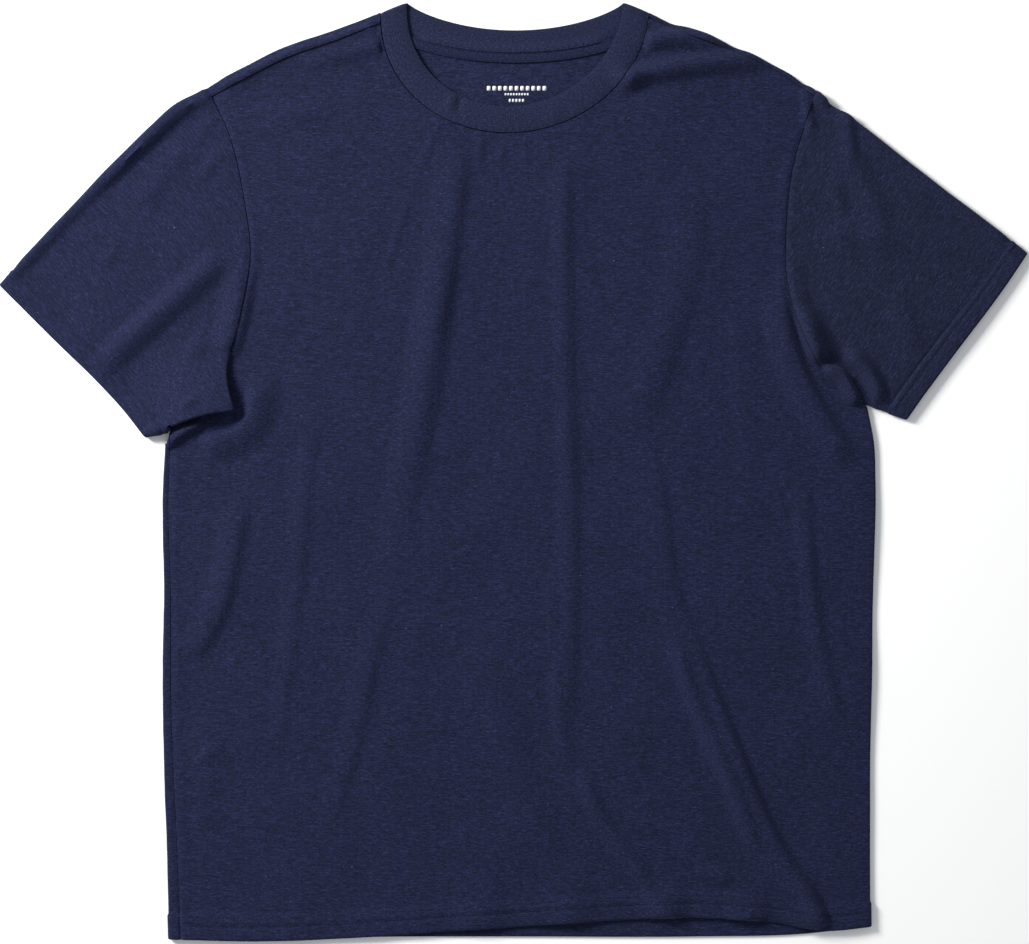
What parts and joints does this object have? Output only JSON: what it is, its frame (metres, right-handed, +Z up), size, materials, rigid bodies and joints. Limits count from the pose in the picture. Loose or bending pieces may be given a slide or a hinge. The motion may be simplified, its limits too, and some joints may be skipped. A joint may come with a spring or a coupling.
{
  "type": "crew neck t-shirt",
  "caption": "Short-sleeved crew neck T-shirt in heathered jersey with a rib neckband, laid flat on its back with soft folds.",
  "frame": {"origin": "centre of the laid-out shirt's bounding box, on the surface that its back rests on", "axes": "+X towards the wearer's left sleeve, +Y towards the neck, +Z up from the back panel to the front panel"},
  "size_m": [0.8111, 0.7407, 0.013],
  "materials": {
    "jersey": "matte heathered navy single jersey",
    "rib": "matte navy one by one rib knit",
    "tape": "matte navy woven tape and thread"
  },
  "bodies": {
    "root": {"front_panel": "jersey", "back_panel": "jersey", "right_sleeve": "jersey", "left_sleeve": "jersey", "neckband": "rib", "neck_tape": "tape"}
  },
  "joints": []
}
